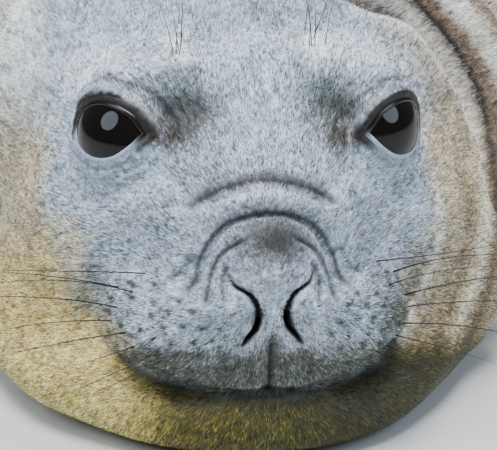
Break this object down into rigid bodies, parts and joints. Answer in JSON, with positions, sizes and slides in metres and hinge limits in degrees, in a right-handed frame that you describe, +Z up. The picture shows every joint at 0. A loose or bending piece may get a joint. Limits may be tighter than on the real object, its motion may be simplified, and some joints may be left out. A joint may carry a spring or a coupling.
{
  "type": "young elephant seal",
  "caption": "Life-size young elephant seal lying on its belly, face forward with chin on the ground, body curved to its left, fore flippers back and hind flippers spread.",
  "frame": {"origin": "middle of the footprint's bounding box, on the ground", "axes": "+Z up; the face looks along -Y, +X is the seal's left; the body trails towards +Y and +X"},
  "size_m": [0.9538, 1.577, 0.34],
  "materials": {
    "face_coat": "short dense silver-grey hair",
    "body_coat": "short dense tan-grey hair",
    "flipper_skin": "short hair over tough skin",
    "claw_horn": "dark satin horn",
    "eye_gloss": "wet gloss"
  },
  "bodies": {
    "root": {"head": "face_coat", "neck": "body_coat", "chest": "body_coat", "belly": "body_coat", "hips": "body_coat", "tail": "body_coat", "fore_flipper_left": "flipper_skin", "fore_flipper_right": "flipper_skin", "hind_flipper_left": "flipper_skin", "hind_flipper_right": "flipper_skin", "fore_claw_left_1": "claw_horn", "fore_claw_left_2": "claw_horn", "fore_claw_left_3": "claw_horn", "fore_claw_left_4": "claw_horn", "fore_claw_left_5": "claw_horn", "fore_claw_right_1": "claw_horn", "fore_claw_right_2": "claw_horn", "fore_claw_right_3": "claw_horn", "fore_claw_right_4": "claw_horn", "fore_claw_right_5": "claw_horn", "eye_left": "eye_gloss", "eye_right": "eye_gloss"}
  },
  "joints": []
}
